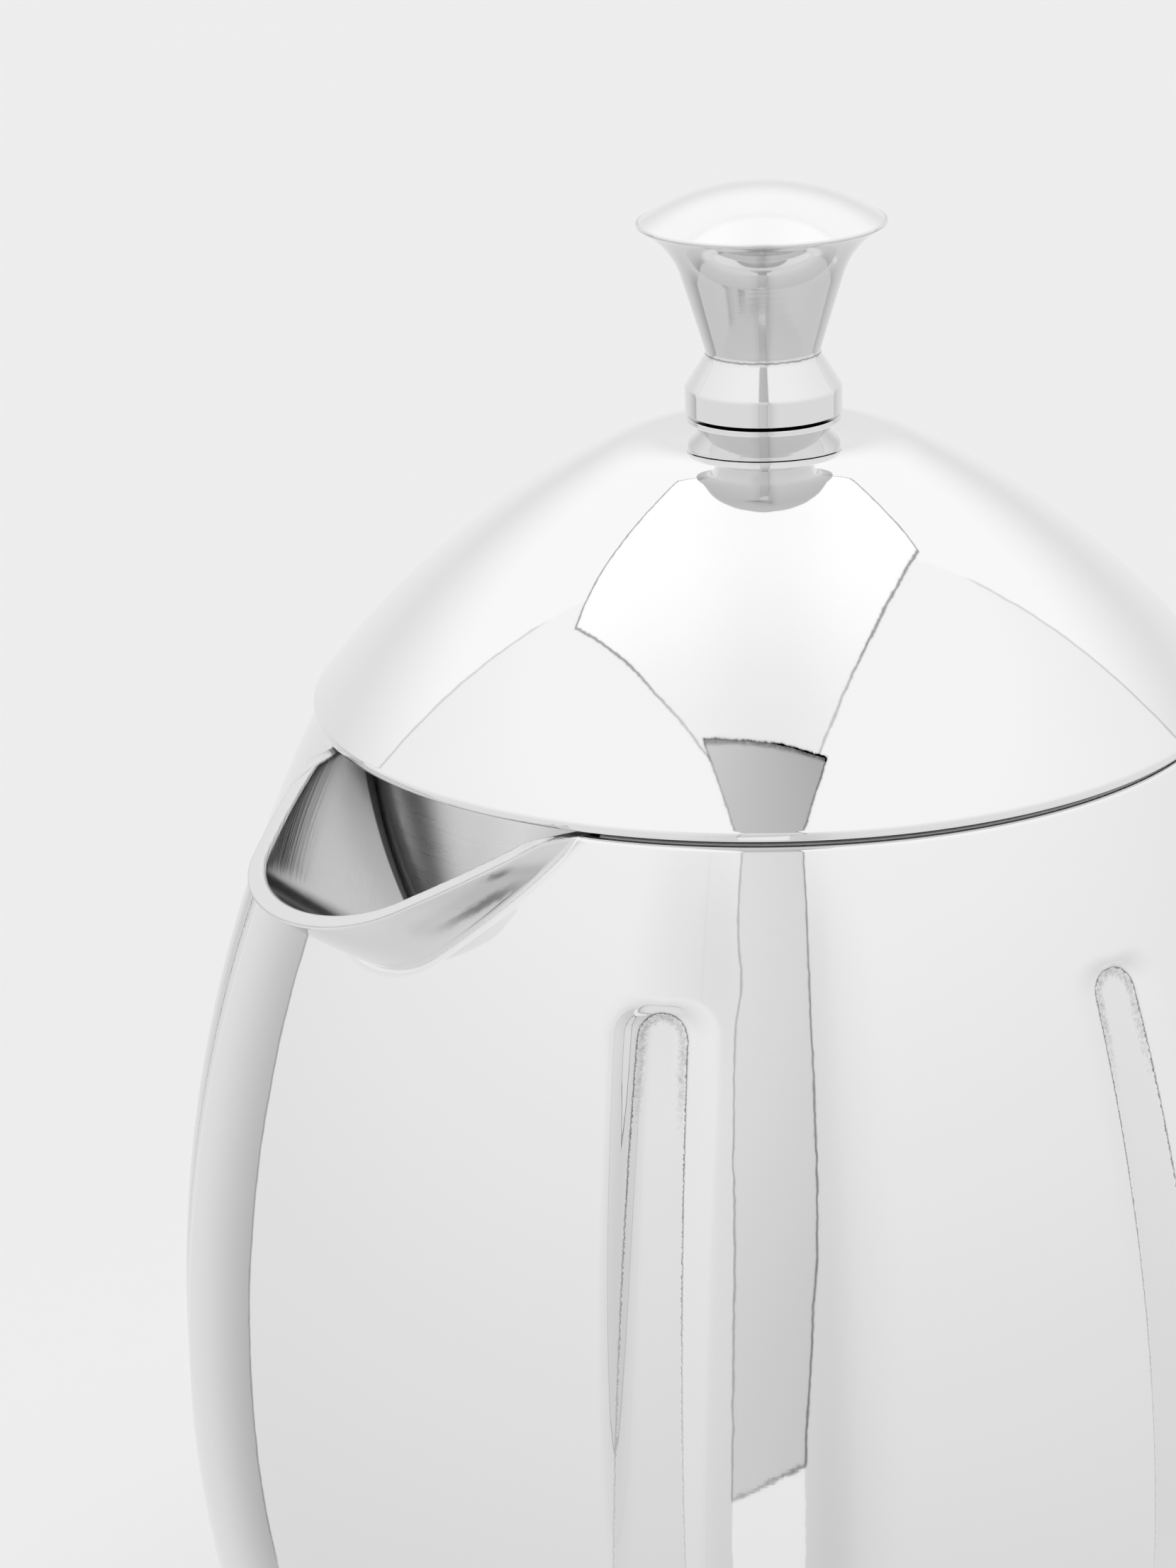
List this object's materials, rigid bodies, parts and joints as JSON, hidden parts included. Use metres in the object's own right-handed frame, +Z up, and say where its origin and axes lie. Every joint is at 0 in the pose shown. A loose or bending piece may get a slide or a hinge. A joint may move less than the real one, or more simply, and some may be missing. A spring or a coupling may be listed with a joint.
{
  "type": "coffee press",
  "caption": "Egg-shaped double-walled steel coffee press with fluted sides, beak spout, loop handle, domed lift-off lid and a knobbed plunger that drives a sprung mesh filter.",
  "frame": {"origin": "centre of the underside, on the plane of the foot ring", "axes": "+Z up along the pot's axis, spout towards -X, handle towards +X"},
  "size_m": [0.1762, 0.136, 0.203],
  "materials": {
    "polished_steel": "mirror-polished stainless steel",
    "brushed_steel": "satin stainless steel",
    "mesh_steel": "fine woven stainless mesh",
    "spring_steel": "drawn stainless wire",
    "silicone": "matt silicone",
    "bush_plastic": "matt"
  },
  "bodies": {
    "pot": {"outer_shell": "polished_steel", "inner_liner": "brushed_steel", "spout": "brushed_steel", "base_cap": "polished_steel", "handle": "polished_steel"},
    "seal": {"lid_seal": "silicone"},
    "lid": {"lid_dome": "polished_steel", "lid_plate": "brushed_steel", "lid_collar": "polished_steel", "guide_bush": "bush_plastic", "guide_nut": "brushed_steel"},
    "plunger": {"knob_body": "polished_steel", "knob_cap": "polished_steel", "plunger_rod": "brushed_steel", "rod_boss": "brushed_steel", "spring_plate": "brushed_steel", "edge_spring": "spring_steel", "filter_mesh": "mesh_steel", "cross_plate": "brushed_steel", "cross_hub": "brushed_steel"}
  },
  "joints": [
    {"name": "lid_lift", "type": "slide", "parent": "pot", "child": "seal", "axis": [0, 0, 1], "range_m": [0, 0.14]},
    {"name": "lid_turn", "type": "hinge", "parent": "seal", "child": "lid", "pos_m": [0, 0, 0.148], "axis": [0, 0, 1], "continuous": true},
    {"name": "plunge", "type": "slide", "parent": "lid", "child": "plunger", "axis": [0, 0, 1], "range_m": [0, 0.105]}
  ]
}
